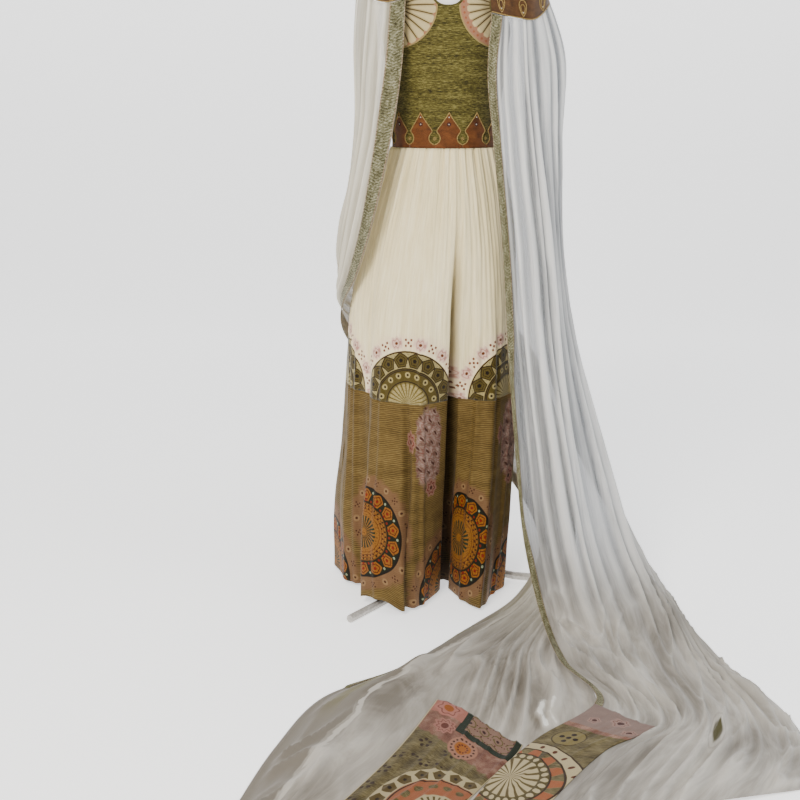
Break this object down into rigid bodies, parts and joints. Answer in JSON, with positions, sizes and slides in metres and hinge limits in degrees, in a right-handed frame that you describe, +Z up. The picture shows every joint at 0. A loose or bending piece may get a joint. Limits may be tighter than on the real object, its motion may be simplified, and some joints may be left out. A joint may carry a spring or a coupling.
{
  "type": "habesha kemis dress on a dress form with stand",
  "caption": "Long gathered dress with fitted bodice, arched waist band, decorated border and sheer trimmed sleeve wings trailing on the floor, on a limbless form with a stand.",
  "frame": {"origin": "middle of the whole model's box at floor level, under the lowest points of the stand's legs", "axes": "+Z up; the wearer faces -Y and +X is to the right as seen from the front"},
  "size_m": [1.02, 1.4458, 1.499],
  "materials": {
    "form_cover": "matt white moulded torso",
    "stand_metal": "grey painted tube",
    "lurex": "olive cloth woven with a gold thread",
    "rust": "rust brown cloth with light gold cord",
    "rayed_patch": "cream patch with embroidered rays",
    "white_cotton": "soft off-white cotton",
    "gold_border": "ribbed gold brown cloth with embroidered rounds",
    "sheer_white": "thin see-through crinkled chiffon",
    "olive_trim": "narrow woven olive and gold braid",
    "tibeb": "dense embroidery in pink, olive, cream and orange"
  },
  "bodies": {
    "root": {"form_torso": "form_cover", "form_pole": "stand_metal", "stand_hub": "stand_metal", "stand_leg_1": "stand_metal", "stand_leg_2": "stand_metal", "stand_leg_3": "stand_metal", "bodice_front": "lurex", "bodice_back": "lurex", "waist_band_front": "rust", "waist_band_back": "rust", "bust_fan_left": "rayed_patch", "bust_fan_right": "rayed_patch", "sleeve_left": "lurex", "sleeve_right": "lurex", "arm_band_left": "rust", "arm_band_right": "rust", "skirt_front": "white_cotton", "skirt_back": "white_cotton", "border_front": "gold_border", "border_back": "gold_border", "wing_left": "sheer_white", "wing_right": "sheer_white", "trim_left": "olive_trim", "trim_right": "olive_trim", "end_band_left": "tibeb", "end_band_right": "tibeb"}
  },
  "joints": []
}
